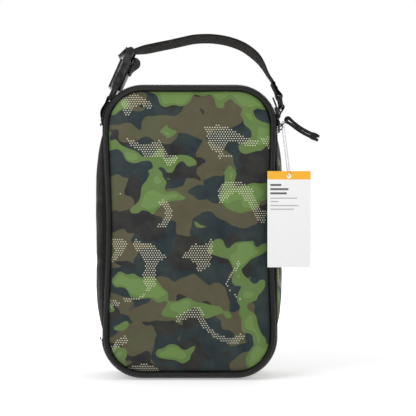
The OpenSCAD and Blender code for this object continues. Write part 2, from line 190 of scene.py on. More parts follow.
def lengths(path, closed=False):
    """Distance along a path to each point, and back to the first point if it is closed."""
    path = np.asarray(path, float)
    ends = np.vstack((path, path[:1])) if closed else path
    return np.concatenate(([0], np.cumsum(np.linalg.norm(np.diff(ends, axis=0), axis=1))))


def tube(name, path, radius, sides=12, closed=False):
    """A round cord along a path; radius is one number or one for each point."""
    path = np.asarray(path, float)
    radius = np.broadcast_to(radius, len(path))
    side, up = frames(path, closed)
    angle = np.arange(sides) * 2 * math.pi / sides
    ring = np.cos(angle)[None, :, None] * side[:, None, :] + np.sin(angle)[None, :, None] * up[:, None, :]
    grid = path[:, None, :] + radius[:, None, None] * ring
    across = np.arange(sides + 1) * 2 * math.pi / sides * radius.mean() / MM
    return surface(name, grid, lengths(path, closed) / MM, across, closed, True, caps=not closed)


def squared_circle(sides, power_x, power_y):
    """Points round a unit circle whose sides are flattened; powers below 1 flatten them."""
    points = []
    for angle in np.arange(sides) * 2 * math.pi / sides:
        x, y = math.cos(angle), math.sin(angle)
        points.append((math.copysign(abs(x) ** power_x, x), math.copysign(abs(y) ** power_y, y)))
    return points


def resample(points, step):
    """Points an even step apart along a smooth curve through the given points."""
    points = np.asarray(points, float)
    padded = np.vstack((2 * points[0] - points[1], points, 2 * points[-1] - points[-2]))
    fine = []
    for a, b, c, d in zip(padded, padded[1:], padded[2:], padded[3:]):
        for t in np.linspace(0, 1, 24, endpoint=False):
            fine.append(0.5 * (2 * b + (c - a) * t + (2 * a - 5 * b + 4 * c - d) * t**2
                               + (3 * b - a - 3 * c + d) * t**3))
    fine = np.array(fine + [points[-1]])
    distance = lengths(fine)
    stations = np.linspace(0, distance[-1], max(2, round(distance[-1] / step)) + 1)
    return np.column_stack([np.interp(stations, distance, fine[:, k]) for k in range(points.shape[1])])


def join(name, parts):
    """One object from several mesh objects."""
    verts, faces, uvs = [], [], []
    for part in parts:
        start = len(verts)
        verts += [tuple(v.co) for v in part.data.vertices]
        faces += [[start + i for i in p.vertices] for p in part.data.polygons]
        uvs += [tuple(loop.uv) for loop in part.data.uv_layers[0].data]
        bpy.data.objects.remove(part)
    return add_object(name, smooth_mesh(name, verts, faces, uvs))


CLOTH_STEPS = 20
CLOTH_SCALE = 10
CLOTH_SETTINGS = dict(
    vertex_group_mass="pinned", quality=8, mass=0.1, air_damping=3, tension_stiffness=30,
    compression_stiffness=20, shear_stiffness=8, bending_stiffness=0.6, use_pressure=True,
)


def inflate(grid, pinned, pressure, slack, wrap_rows=False, facing=(0, -1, 0)):
    """Cloth simulation of a sheet held at its pinned points, under pressure from behind; returns its
    new points. It runs at CLOTH_SCALE times size, which suits the solver's step."""
    rows, cols = grid.shape[:2]
    sheet = surface("sheet", grid * CLOTH_SCALE, range(rows + 1), range(cols + 1), wrap_rows, facing=facing)
    group = sheet.vertex_groups.new(name="pinned")
    group.add([int(i) for i in np.flatnonzero(pinned.ravel())], 1.0, "REPLACE")
    cloth = sheet.modifiers.new("cloth", "CLOTH")
    for key, value in CLOTH_SETTINGS.items():
        setattr(cloth.settings, key, value)
    cloth.settings.uniform_pressure_force = pressure
    cloth.settings.shrink_min = -slack
    cloth.settings.effector_weights.gravity = 0
    cloth.collision_settings.use_collision = False
    cloth.point_cache.frame_start = 1
    cloth.point_cache.frame_end = CLOTH_STEPS
    scene = bpy.context.scene
    for step in range(1, CLOTH_STEPS + 1):
        scene.frame_set(step)
    result = sheet.evaluated_get(bpy.context.evaluated_depsgraph_get()).data
    moved = np.zeros(len(result.vertices) * 3)
    result.vertices.foreach_get("co", moved)
    bpy.data.objects.remove(sheet)
    scene.frame_set(1)
    return moved.reshape(grid.shape) / CLOTH_SCALE


def finish_piece(obj, finish, body, *nodes, thickness=0.0, smooth_levels=0):
    """Finish (a material and its slot's name, which is not used), last modifiers and replaced CAD nodes of a
    piece, and the body it rides on if it rides on only one."""
    material, slot_name = finish
    obj.data.materials.append(material)
    if smooth_levels:
        subdivision = obj.modifiers.new("subdivision", "SUBSURF")
        subdivision.levels = smooth_levels
        subdivision.render_levels = smooth_levels
    if thickness:
        solid = obj.modifiers.new("thickness", "SOLIDIFY")
        solid.thickness = thickness
        solid.offset = -1
    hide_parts(*nodes)
    if body:
        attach(obj, body)


# ---- Materials ----


def srgb(red, green, blue):
    """A display colour, 0 to 255, as the linear colour that a shader takes."""
    def linear(c):
        c = c / 255
        return c / 12.92 if c <= 0.04045 else ((c + 0.055) / 1.055) ** 2.4
    return (linear(red), linear(green), linear(blue), 1.0)


class Look:
    """A material and a short way to build its nodes."""

    def __init__(self, name, roughness, specular=0.5):
        self.material = bpy.data.materials.new(name)
        self.material.use_nodes = True
        self.tree = self.material.node_tree
        self.shader = self.tree.nodes["Principled BSDF"]
        self.set("Roughness", roughness)
        self.set("Specular IOR Level", specular)

    def set(self, name, value):
        self.feed(self.shader.inputs[name], value)

    def feed(self, socket, value):
        if isinstance(value, bpy.types.NodeSocket):
            self.tree.links.new(value, socket)
        else:
            socket.default_value = value

    def add(self, kind, inputs=None, **settings):
        node = self.tree.nodes.new("ShaderNode" + kind)
        for key, value in settings.items():
            setattr(node, key, value)
        for key, value in (inputs or {}).items():
            self.feed(node.inputs[key], value)
        return node

    def math(self, operation, a, b=0.0):
        return self.add("Math", {0: a, 1: b}, operation=operation).outputs[0]

    def plus(self, a, b):
        return self.math("ADD", a, b)

    def minus(self, a, b):
        return self.math("SUBTRACT", a, b)

    def times(self, a, b):
        return self.math("MULTIPLY", a, b)

    def between(self, value, low, high):
        """1 inside a span and 0 outside."""
        return self.times(self.math("GREATER_THAN", value, low), self.math("LESS_THAN", value, high))

    def mix(self, factor, a, b):
        return self.add("Mix", {0: factor, 6: a, 7: b}, data_type="RGBA").outputs[2]

    def rise(self, value, low, high, first=0.0, last=1.0):
        return self.add("MapRange", {0: value, 1: low, 2: high, 3: first, 4: last}).outputs[0]

    def fabric(self):
        """The fabric's own coordinates in millimetres: along, across and both as one vector."""
        vector = self.add("UVMap", uv_map="fabric").outputs[0]
        split = self.add("SeparateXYZ", {0: vector})
        return split.outputs[0], split.outputs[1], vector

    def place(self):
        """The frame's coordinates in millimetres."""
        where = self.add("TexCoord").outputs["Object"]
        return self.add("VectorMath", {0: where, 3: 1 / MM}, operation="SCALE").outputs[0]

    def vector(self, x, y, z=0.0):
        return self.add("CombineXYZ", {0: x, 1: y, 2: z}).outputs[0]

    def noise(self, vector, size, detail=2.0, rough=0.5, distortion=0.0):
        inputs = {"Vector": vector, "Scale": 1 / size, "Detail": detail, "Roughness": rough,
                  "Distortion": distortion}
        return self.add("TexNoise", inputs).outputs[0]

    def wave(self, coordinate, pitch):
        """A sine of the given pitch, from -1 to 1."""
        return self.math("SINE", self.times(coordinate, 2 * math.pi / pitch))

    def bump(self, height, depth_mm, normal=None):
        """Adds relief; height is in 0 to 1 and depth_mm is what 1 stands for."""
        inputs = {"Height": height, "Distance": depth_mm * MM, "Strength": 1.0}
        if normal is not None:
            inputs["Normal"] = normal
        result = self.add("Bump", inputs).outputs[0]
        self.set("Normal", result)
        return result

    def painted_crevice_shade(self, colour, reach_mm, low=0.3, high=0.9):
        """Painted shade: the colour, turned nearly black where another surface stands close in front."""
        sky = self.add("AmbientOcclusion", {"Distance": reach_mm * MM}, samples=6).outputs["AO"]
        return self.mix(self.rise(sky, low, high), (0.003, 0.003, 0.003, 1.0), colour)

    def weave(self, along, across, pitch):
        """Plain weave: threads that cross over and under each other."""
        return self.times(self.wave(along, pitch), self.wave(across, pitch))


OLIVE = srgb(80, 75, 55)
KHAKI = srgb(78, 80, 55)
TEAL = srgb(27, 41, 46)
CHARCOAL = srgb(32, 31, 32)
GREEN = srgb(90, 116, 60)
LIME = srgb(102, 130, 70)
CREAM = srgb(226, 222, 196)

# Seed, width and height of the blobs in millimetres, how rare they are, and their colour
CAMO_LAYERS = (
    (1, 46, 32, 0.56, KHAKI),
    (2, 43, 33, 0.49, TEAL),
    (5, 34, 25, 0.565, CHARCOAL),
    (3, 40, 29, 0.58, GREEN),
    (3, 40, 29, 0.635, LIME),
)


def camo_blobs(look, along, across, seed, wide, tall, threshold):
    """A mask of smooth lobed blobs, wide by tall millimetres."""
    u = look.plus(along, 137.0 * seed)
    v = look.plus(across, 91.0 * seed)
    drift = look.noise(look.vector(u, v, seed), 36, 0.0)
    bend = look.times(look.minus(drift, 0.5), 16.0)
    fingers = look.noise(look.vector(u, v, seed + 40.0), 12, 0.0)
    wag = look.times(look.minus(fingers, 0.5), 10.0)
    x = look.math("DIVIDE", look.plus(look.plus(u, bend), wag), wide)
    y = look.math("DIVIDE", look.minus(look.plus(v, wag), bend), tall)
    value = look.noise(look.vector(x, y, seed * 5.3), 1.0, 1.0)
    return look.rise(value, threshold - 0.003, threshold + 0.003)


def halftone(look, along, across):
    """Rows of small round dots on a hexagonal lattice, whole dots only, in winding strokes."""
    pitch = 2.3
    row_height = pitch * math.sqrt(3) / 2
    row = look.math("FLOOR", look.math("DIVIDE", across, row_height))
    offset = look.times(look.math("PINGPONG", row, 1.0), pitch / 2)
    column = look.math("FLOOR", look.math("DIVIDE", look.minus(along, offset), pitch))
    x = look.plus(look.times(look.plus(column, 0.5), pitch), offset)
    y = look.times(look.plus(row, 0.5), row_height)
    reach = look.add("VectorMath", {0: look.vector(along, across), 1: look.vector(x, y)},
                     operation="DISTANCE").outputs["Value"]
    dot = look.rise(reach, 0.66, 0.5)
    stroke = look.minus(look.noise(look.vector(x, y, 64.0), 48, 0.6, 0.5), 0.5)
    inside = look.math("LESS_THAN", look.math("ABSOLUTE", stroke), 0.04)
    patch = look.noise(look.vector(x, y, 3.7), 40, 0.0)
    chosen = look.math("GREATER_THAN", patch, 0.49)
    return look.times(dot, look.times(inside, chosen))


def camo_fabric():
    look = Look("camo_fabric", 0.5, 0.22)
    along, across, vector = look.fabric()
    colour = OLIVE
    for seed, wide, tall, threshold, tint in CAMO_LAYERS:
        colour = look.mix(camo_blobs(look, along, across, seed, wide, tall, threshold), colour, tint)
    dots = look.times(halftone(look, along, across), 0.72)
    colour = look.mix(dots, colour, CREAM)
    worn = look.noise(vector, 18, 3.0)
    colour = look.mix(look.rise(worn, 0.35, 0.75, 0.0, 0.12), colour, srgb(120, 122, 104))
    # Painted shade: the cloth turns nearly black in the seam beside the piping and in other narrow gaps.
    look.set("Base Color", look.painted_crevice_shade(colour, 4.5))
    look.set("Roughness", look.rise(worn, 0.3, 0.7, 0.44, 0.58))
    wrinkles = look.bump(look.noise(vector, 19, 2.0, 0.5, 0.8), 1.3)
    crease = look.bump(look.noise(vector, 6, 3.0, 0.5), 0.3, wrinkles)
    look.bump(look.weave(along, across, 0.7), 0.02, crease)
    return look.material


def plain_fabric(name, colour, pitch, roughness, crease_mm):
    """Woven cloth in one colour, a little faded here and there."""
    look = Look(name, roughness, 0.12)
    along, across, vector = look.fabric()
    faded = tuple(min(1.0, c * 1.5 + 0.002) for c in colour[:3]) + (1.0,)
    patches = look.rise(look.noise(vector, 12, 4.0), 0.35, 0.7, 0.0, 0.6)
    threads = look.rise(look.weave(along, across, pitch), -1.0, 1.0, 0.0, 0.35)
    look.set("Base Color", look.mix(look.plus(patches, threads), colour, faded))
    crease = look.bump(look.noise(vector, 6, 3.0, 0.5), crease_mm)
    look.bump(look.weave(along, across, pitch), 0.05, crease)
    return look.material


def piping_fabric():
    """Bias-cut cloth wrapped round a cord: fine ribs that run slantwise."""
    look = Look("piping_fabric", 0.34, 0.3)
    along, across, vector = look.fabric()
    slant = look.wave(look.plus(along, across), 0.9)
    patches = look.rise(look.noise(vector, 9, 3.0), 0.35, 0.7)
    cloth = look.mix(patches, srgb(10, 10, 9), srgb(18, 18, 16))
    # Painted shade: the cord turns nearly black where it lies close against the panel and the gusset.
    look.set("Base Color", look.painted_crevice_shade(cloth, 3.0))
    look.set("Roughness", look.rise(patches, 0, 1, 0.3, 0.42))
    pucker = look.bump(look.noise(vector, 3.5, 2.0), 0.3)
    look.bump(slant, 0.04, pucker)
    return look.material


def webbing_fabric():
    """Ribbed tape: cords that run lengthways, crossed by fine slanted threads."""
    look = Look("webbing_fabric", 0.6, 0.12)
    along, across, vector = look.fabric()
    rib = look.wave(across, 1.7)
    zigzag = look.math("PINGPONG", across, 1.7)
    thread = look.wave(look.plus(along, zigzag), 1.3)
    height = look.plus(look.times(rib, 0.6), look.times(thread, 0.4))
    patches = look.rise(look.noise(vector, 8, 4.0), 0.3, 0.7, 0.0, 0.6)
    shade = look.plus(patches, look.rise(height, -1.0, 1.0, 0.0, 0.4))
    # Painted shade: the tape turns nearly black where it lies close against its other ply, the bars and the
    # bag.
    look.set("Base Color", look.painted_crevice_shade(look.mix(shade, srgb(14, 12, 9), srgb(33, 28, 22)), 3.0))
    look.bump(height, 0.16)
    return look.material


def thread_look():
    look = Look("thread", 0.55, 0.25)
    along, across, _ = look.fabric()
    twist = look.wave(look.plus(along, look.times(across, 0.8)), 0.7)
    look.set("Base Color", look.mix(look.rise(twist, -1, 1), srgb(14, 14, 14), srgb(44, 44, 43)))
    look.bump(twist, 0.06)
    return look.material


def braided_cord():
    """Strands that wind both ways round the cord and cross each other."""
    look = Look("braided_cord", 0.55, 0.25)
    along, across, _ = look.fabric()
    left = look.wave(look.plus(along, across), 1.9)
    right = look.wave(look.minus(along, across), 1.9)
    height = look.math("MAXIMUM", left, right)
    look.set("Base Color", look.mix(look.rise(height, -0.6, 1), srgb(14, 13, 12), srgb(38, 36, 34)))
    look.bump(height, 0.22)
    return look.material


def film():
    """Crinkled silvery lining."""
    look = Look("lining_film", 0.3)
    vector = look.fabric()[2]
    look.set("Metallic", 0.6)
    cells = look.add("TexVoronoi", {"Vector": vector, "Scale": 1 / 27}, feature="SMOOTH_F1").outputs[0]
    crinkle = look.noise(vector, 21, 3.0, 0.45, 0.5)
    shade = look.rise(crinkle, 0.35, 0.65)
    look.set("Base Color", look.mix(shade, srgb(204, 207, 209), srgb(220, 222, 224)))
    look.set("Roughness", look.rise(crinkle, 0.3, 0.7, 0.3, 0.42))
    folds = look.bump(crinkle, 1.7)
    look.bump(cells, 0.9, folds)
    return look.material


def zip_teeth_look():
    look = Look("nylon_teeth", 0.36)
    grain = look.noise(look.place(), 2.0, 3.0)
    look.set("Base Color", look.mix(grain, srgb(20, 20, 21), srgb(42, 43, 45)))
    look.bump(grain, 0.05)
    return look.material


def moulded(name, dark, light, roughness, metallic=0.0, worn=0.3, grain_mm=0.02):
    """Hard piece with softened edges, a fine grain and edges rubbed a little paler."""
    look = Look(name, roughness)
    place = look.place()
    rounded = look.add("Bevel", {"Radius": 0.5 * MM}, samples=6).outputs[0]
    facets = look.add("NewGeometry").outputs["Normal"]
    edge = look.add("VectorMath", {0: rounded, 1: facets}, operation="DISTANCE").outputs["Value"]
    mottled = look.noise(place, 5, 4.0)
    rub = look.times(look.rise(edge, 0.1, 0.7, 0.0, worn), mottled)
    paler = look.plus(rub, look.rise(mottled, 0.4, 0.7, 0.0, 0.2))
    look.set("Base Color", look.mix(paler, dark, light))
    look.set("Metallic", metallic)
    look.set("Roughness", look.rise(mottled, 0.3, 0.7, roughness * 0.85, roughness * 1.2))
    look.bump(look.noise(place, 0.5, 2.0), grain_mm, rounded)
    return look.material


# Where each line of the card's bars starts, down from its top, and ends across it, in millimetres
HEADING_BARS = ((11.6, 12.5), (15.4, 19.0), (19.2, 17.5))
TEXT_BARS = ((24.0, 27.0), (27.2, 10.0), (30.8, 28.0), (34.0, 24.0))
CARD_BAND = 7.6
CARD_MARGIN = 2.6


def card_look():
    """Coated white card: a plain amber band across the top and plain grey bars where the text would be."""
    look = Look("tag_card", 0.45)
    (x0, _, _), (_, _, z1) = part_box("swing_tag")
    split = look.add("SeparateXYZ", {0: look.place()})
    right = look.minus(split.outputs[0], x0 / MM)
    down = look.minus(z1 / MM, split.outputs[2])
    fibre = look.rise(look.noise(look.place(), 1.2, 4.0), 0.3, 0.7)
    colour = look.mix(fibre, srgb(226, 226, 227), srgb(234, 234, 234))
    colour = look.mix(look.between(down, 0, CARD_BAND), colour, srgb(236, 172, 36))
    for bars, height, ink in ((HEADING_BARS, 1.9, srgb(96, 96, 98)), (TEXT_BARS, 0.9, srgb(160, 160, 162))):
        for top, end in bars:
            bar = look.times(look.between(right, CARD_MARGIN, end), look.between(down, top, top + height))
            colour = look.mix(bar, colour, ink)
    look.set("Base Color", colour)
    look.bump(fibre, 0.01)
    return look.material


def clear_plastic():
    look = Look("clear_plastic", 0.15)
    haze = look.rise(look.noise(look.place(), 3, 2.0), 0.3, 0.7)
    look.set("Base Color", look.mix(haze, srgb(225, 228, 230), srgb(245, 246, 247)))
    look.set("Transmission Weight", 0.6)
    look.set("IOR", 1.46)
    return look.material


# Finishes of the pieces made here: a material and the name of its slot
CAMO = camo_fabric(), "camo_fabric"
BLACK = plain_fabric("black_fabric", srgb(17, 17, 14), 0.8, 0.5, 0.35), "black_fabric"
BINDING = plain_fabric("binding_fabric", srgb(18, 18, 18), 1.1, 0.55, 0.2), "black_fabric"
TAPE = plain_fabric("zip_tape_fabric", srgb(15, 15, 16), 0.9, 0.6, 0.1), "zip_tape"
PIPING = piping_fabric(), "piping_cord"
WEBBING = webbing_fabric(), "webbing"
THREAD = thread_look(), "thread"
CORD = braided_cord(), "cord"
FILM = film(), "liner_film"
TEETH = zip_teeth_look(), "zip_coil"

# Materials of the CAD nodes that are shown
ACETAL = moulded("moulded_acetal", srgb(20, 20, 21), srgb(92, 93, 95), 0.3)
LACQUER = moulded("lacquered_metal", srgb(24, 24, 25), srgb(130, 126, 118), 0.34, 0.35, 0.5)
CARD = card_look()
CLEAR = clear_plastic()


# ---- Front and back panels ----

CLOTH_T = 0.8 * MM
SEAM_SUNK = 0.9 * MM

# How deep the cloth puckers by the seam and rolls further in, and how far in from the seam the crown,
# the pucker and the roll come and go
PUCKER = 0.8 * MM
ROLL = 0.9 * MM
CROWN_EASE = 9 * MM
PUCKER_EASE = 8 * MM
ROLL_EASE = 14 * MM


def panel_grid(inset, y, cols, rows):
    """A sheet inside the lid outline: a square grid drawn out to the rounded shape."""
    half_w = HALF_W - inset
    half_h = HALF_H - inset
    radius = CORNER_R - inset
    grid = np.zeros((cols, rows, 3))
    for i, a in enumerate(np.linspace(-1, 1, cols)):
        for j, b in enumerate(np.linspace(-1, 1, rows)):
            reach = max(abs(a), abs(b), 1e-9)
            edge = np.array((a / reach * half_w, b / reach * half_h))
            centre = np.sign(edge) * np.array((half_w - radius, half_h - radius))
            out = edge - centre
            if (np.abs(edge) > np.abs(centre)).all():
                edge = centre + out * radius / np.linalg.norm(out)
            grid[i, j] = (edge[0] * reach, y, MID_Z + edge[1] * reach)
    return grid


def seam_distance(x, z):
    """How far a point of the lid lies inside the outline."""
    out_x = max(abs(x) - CORNER_X, 0)
    out_z = max(abs(z - MID_Z) - CORNER_Z, 0)
    if out_x and out_z:
        return CORNER_R - math.hypot(out_x, out_z)
    return min(HALF_W - abs(x), HALF_H - abs(z - MID_Z))


def waist(x, z):
    """How far the lid's front is drawn towards its middle, most at mid height, by the pull of the padding."""
    height = math.cos(math.pi / 2 * min(abs(z - MID_Z) / CORNER_Z, 1)) ** 2
    side = x / HALF_W
    return -WAIST * height * side * abs(side)


def padded_panel(name, inset, y, facing, crown, seed):
    """Cloth stretched over padding: held at its seam, blown out, then puckered along the seam."""
    cols, rows = 41, 67
    grid = panel_grid(inset, y, cols, rows)
    pinned = np.zeros((cols, rows), bool)
    pinned[[0, -1], :] = True
    pinned[:, [0, -1]] = True
    blown = inflate(grid, pinned, 6.0, 0.012, facing=(0, facing, 0))
    rise = (blown[..., 1] - y) * facing
    top = max(rise.max(), 1e-6)
    for i in range(cols):
        for j in range(rows):
            x, _, z = grid[i, j]
            depth = max(seam_distance(x, z) - inset, 0)
            pillow = 1 - math.exp(-depth / CROWN_EASE)
            around = math.atan2(z - MID_Z, x) * 26
            pucker = ripple(around, seed) * math.exp(-depth / PUCKER_EASE) * smooth(depth / (2 * MM))
            roll = ripple(x / (34 * MM), z / (46 * MM), seed + 5) * smooth(depth / ROLL_EASE)
            swell = 0.55 * rise[i, j] / top + 0.45 * pillow
            blown[i, j, 1] = y + facing * (crown * swell + PUCKER * pucker + ROLL * roll)
            blown[i, j, 0] = x + (blown[i, j, 0] - x) * 0.5 + (waist(x, z) if facing < 0 else 0)
            blown[i, j, 2] = z + (blown[i, j, 2] - z) * 0.5
    obj = surface(name, blown, range(cols), range(rows), facing=(0, facing, 0))
    layer = obj.data.uv_layers["fabric"].data
    flat = grid.reshape(-1, 3)
    for loop in obj.data.loops:
        x, _, z = flat[loop.vertex_index]
        layer[loop.index].uv = (x / MM * -facing, z / MM)
    return obj


def panels():
    """Padded front and back, each sewn in a little below the top of its piping."""
    front_y = FRONT_PIPING_Y + SEAM_SUNK
    back_y = REAR_PIPING_Y - SEAM_SUNK
    for name, inset, y, facing, crown, seed, body, skin, foam in (
        ("front_panel", 3.6, front_y, -1, 6.3, 1.3, "lid", "lid_skin", "lid_foam"),
        ("back_panel", 2.6, back_y, 1, 5.1, 7.7, "root", "back_skin", "back_foam"),
    ):
        panel = padded_panel(name, inset * MM, y, facing, crown * MM, seed)
        finish_piece(panel, CAMO, body, skin, foam, thickness=CLOTH_T, smooth_levels=1)


def piping(name, y, grow, node, body, seed):
    """Cord piping sewn round a panel, a little uneven by hand."""
    count = 330
    path = []
    for k in range(count):
        s = AROUND * k / count
        wander = 0.35 * MM * ripple(s / (26 * MM), seed)
        (x, z), _ = outline_at(s, grow - PIPING_R + wander)
        if body == "lid":
            x += waist(x, z)
        path.append((x, y + 0.25 * MM * ripple(s / (19 * MM), seed + 3), z))
    radius = [PIPING_R * (1 + 0.03 * ripple(k * 0.31, seed + 8)) for k in range(count)]
    cord = tube(name, path, np.array(radius) - 0.05 * MM, 16, closed=True)
    finish_piece(cord, PIPING, body, node)


# ---- Gusset ----

GUSSET_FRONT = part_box("gusset_skin_camo")[0][1]
GUSSET_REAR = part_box("gusset_skin_camo")[1][1]
SIDE_BULGE = -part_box("gusset_skin_black")[0][0] - HALF_W - BAND_OUT


def gusset_stations():
    """Distances round the outline, even within each leg, and the index where each leg starts."""
    legs = ((QUARTER, 14), (2 * CORNER_X, 20), (QUARTER, 14), (2 * CORNER_Z, 46)) * 2
    stations = []
    starts = []
    begin = 0.0
    for length, steps in legs:
        starts.append(len(stations))
        stations += [begin + length * k / steps for k in range(steps)]
        begin += length
    return stations, starts


def gusset_swell(s):
    """How far the gusset may stand out at its middle: full for most of a side, to the floor at the base."""
    right = (s - 2 * QUARTER - 2 * CORNER_X) / CORNER_Z - 1
    left = (s - ZIP_LENGTH) / CORNER_Z - 1
    for part, full in ((right, SIDE_BULGE * 1.1), (left, SIDE_BULGE * 1.25)):
        if abs(part) <= 1:
            return 0.4 * MM + full * (1 - abs(part) ** 5)
    base = ZIP_LENGTH - QUARTER - CORNER_X
    return 0.4 * MM + 1.9 * MM * smooth((CORNER_X - abs(s - base)) / (12 * MM))


def gusset_points():
    """The blown-out gusset as a ring of strips: one row for each station, one column across the depth."""
    stations, _ = gusset_stations()
    cols = 15
    depth = np.linspace(GUSSET_FRONT - 0.3 * MM, GUSSET_REAR + 0.3 * MM, cols)
    flat = np.zeros((len(stations), cols, 3))
    normals = np.zeros((len(stations), 2))
    for i, s in enumerate(stations):
        (x, z), normal = outline_at(s, BAND_OUT - 0.3 * MM)
        normals[i] = normal
        for j, y in enumerate(depth):
            flat[i, j] = (x, y, z)
    pinned = np.zeros((len(stations), cols), bool)
    pinned[:, [0, -1]] = True
    blown = inflate(flat, pinned, 8.0, 0.02, wrap_rows=True, facing=None)
    result = flat.copy()
    for i, s in enumerate(stations):
        rise = (blown[i] - flat[i])[:, [0, 2]] @ normals[i]
        peak = max(rise.max(), 1e-6)
        swell = gusset_swell(s)
        upright = abs(normals[i, 0]) ** 4
        for j, y in enumerate(depth):
            t = j / (cols - 1)
            pillow = math.sin(math.pi * t) ** 0.6
            fold = ripple(t * 7.5, s / (70 * MM), 2.2) * 1.5 * MM * upright * pillow
            wrinkle = ripple(s / (15 * MM), t * 2.2, 9.1) * min(0.5 * MM, swell * 0.3) * pillow
            height = swell * (0.5 * pillow + 0.5 * max(rise[j], 0) / peak)
            height += fold * min(1, swell / (5 * MM)) + wrinkle
            height = min(max(height, 0), swell + 1.2 * MM * min(1, swell / (3 * MM)))
            result[i, j, 0] += normals[i, 0] * height
            result[i, j, 1] += 0.5 * (blown[i, j, 1] - y)
            result[i, j, 2] = max(result[i, j, 2] + normals[i, 1] * height, 0.0)
    return stations, depth, result


def gusset():
    """Camouflage cloth over the top, right and base, plain black cloth round the hinge side."""
    stations, depth, points = gusset_points()
    _, starts = gusset_stations()
    count = len(stations)
    pieces = (
        ("gusset_camo", 1, starts[1], starts[6], CAMO, ("gusset_skin_camo", "gusset_foam")),
        ("gusset_black", -1, starts[6], starts[1] + count, BLACK, ("gusset_skin_black",)),
    )
    for name, side, first, last, finish, nodes in pieces:
        rows = [k % count for k in range(first, last + 1)]
        along = [(stations[k % count] + AROUND * (k // count)) / MM for k in range(first, last + 1)]
        strip = surface(name, points[rows], along, depth / MM, facing=(side, 0, 0))
        finish_piece(strip, finish, "root", *nodes, thickness=CLOTH_T, smooth_levels=1)


# ---- Lining and bindings ----

FILM_T = 0.4 * MM


def film_sheet(name, inset, y, facing, ease, slack, seed):
    """Film inside the outline, flat at its seam and slack by ease millimetres in from it. slack is how far it
    stands out on average and how far it ripples, then the width and height of its ripples, in millimetres."""
    stand, swing, wide, tall = (value * MM for value in slack)
    grid = panel_grid(inset, y, 33, 55)
    for x_row in grid:
        for point in x_row:
            depth = max(seam_distance(point[0], point[2]) - inset, 0)
            puff = stand + swing * ripple(point[0] / wide, point[2] / tall, seed)
            point[1] += puff * smooth(depth / (ease * MM))
    return surface(name, grid, grid[:, 27, 0] / MM, grid[16, :, 2] / MM, facing=(0, facing, 0))


def lid_lining():
    """Film on the lid's inner face, slack between its seams."""
    rear_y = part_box("lid_liner")[1][1]
    sheet = film_sheet("lid_lining", 4.6 * MM, rear_y, 1, 12, (-0.5, 0.9, 22, 28), 4.4)
    finish_piece(sheet, FILM, "lid", "lid_liner", thickness=FILM_T, smooth_levels=1)


def tub_lining():
    """Film over the tub's walls, welded along the back edge to a flat sheet over its back."""
    lo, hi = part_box("tub_liner")
    wall_grow = hi[0] - HALF_W - 0.5 * MM
    back_y = hi[1] - 1.2 * MM
    count = 220
    depths = np.linspace(lo[1], back_y, 14)
    rows = []
    for k in range(count):
        s = AROUND * k / count
        row = []
        for t, y in zip(np.linspace(0, 1, 14), depths):
            slack = 0.7 * MM * ripple(s / (24 * MM), t * 3, 6.1) * math.sin(math.pi * t)
            (x, z), _ = outline_at(s, wall_grow + slack)
            row.append((x, y, z))
        rows.append(row)
    along = np.arange(count + 1) * AROUND / count / MM
    walls = surface("walls", rows, along, depths / MM, wrap_rows=True)
    back = film_sheet("back", -wall_grow, back_y, -1, 10, (-0.9, -0.8, 24, 30), 2.5)
    sheet = join("tub_lining", (walls, back))
    finish_piece(sheet, FILM, "root", "tub_liner", thickness=FILM_T)


def flat_band(name, length, y0, y1, outer, inner, finish, body, node, seed):
    """A folded tape along a length of the outline, between two depths and two offsets."""
    closed = length >= AROUND - 1e-6
    count = 300
    along = np.linspace(0, length, count + 1)
    corners = squared_circle(12, 0.5, 0.5)
    rows = []
    for s in along[:-1] if closed else along:
        shift = 0.15 * MM * ripple(s / (17 * MM), seed)
        row = []
        for a, b in corners:
            grow = (outer + inner) / 2 + a * (outer - inner) / 2 + shift
            (x, z), _ = outline_at(s, grow)
            if name == "lid_zip_tape":
                x += waist(x, z) * smooth(-b)
            row.append((x, (y0 + y1) / 2 + b * (y1 - y0) / 2 + shift, z))
        rows.append(row)
    band = surface(name, rows, along / MM, lengths(rows[0], True) / MM, closed, True, caps=not closed)
    finish_piece(band, finish, body, node)


def bands():
    """Bindings over the raw edges inside, and the two woven zipper tapes."""
    for name, length, ease, outer, inner, finish, body, node, seed in (
        ("lid_edge_binding", ZIP_LENGTH, 0.2, 0.75, -6.0, BINDING, "lid", "lid_binding", 1.1),
        ("tub_edge_binding", AROUND, 0, 0.75, -6.4, BINDING, "root", "tub_binding", 2.1),
        ("lid_zip_tape", ZIP_LENGTH, 0, 1.0, 0.5, TAPE, "lid", "zip_tape_lid", 3.1),
        ("tub_zip_tape", ZIP_LENGTH, 0, 1.0, 0.5, TAPE, "root", "zip_tape_body", 3.1),
    ):
        lo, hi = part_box(node)
        flat_band(name, length, lo[1], hi[1] + ease * MM, outer * MM, inner * MM, finish, body, node, seed)


def hinge():
    """Black cloth that joins the lid to the tub down the left side and is hemmed under the lid's piping."""
    lo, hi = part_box("hinge_strip")
    x = lo[0] + 0.2 * MM
    heights = np.linspace(lo[2], hi[2], 60)
    depths = np.linspace(hi[1] + 0.4 * MM, lo[1] - 1.2 * MM, 10)
    hem = np.array((1.2, 2.4, 3.6)) * MM
    rows = []
    for z in heights:
        row = []
        for t, y in zip(np.linspace(0, 1, 10), depths):
            sag = 0.5 * MM * ripple(z / (24 * MM), t * 2, 3.3) * math.sin(math.pi * t)
            row.append((x + sag, y, z))
        reach = 1 + waist(-HALF_W, z) / hem[-1]
        row += [(x + turned * reach, depths[-1] - 0.2 * turned, z) for turned in hem]
        rows.append(row)
    across = np.concatenate((depths, depths[-1] - hem)) / MM
    strip = surface("hinge_cloth", rows, heights / MM, across, facing=(-1, 0, 0))
    finish_piece(strip, BLACK, None, "hinge_strip", thickness=0.6 * MM)
    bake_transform(strip)


# ---- Zipper ----


TOOTH_PITCH = 1.5 * MM
TOOTH_SIDES = 6


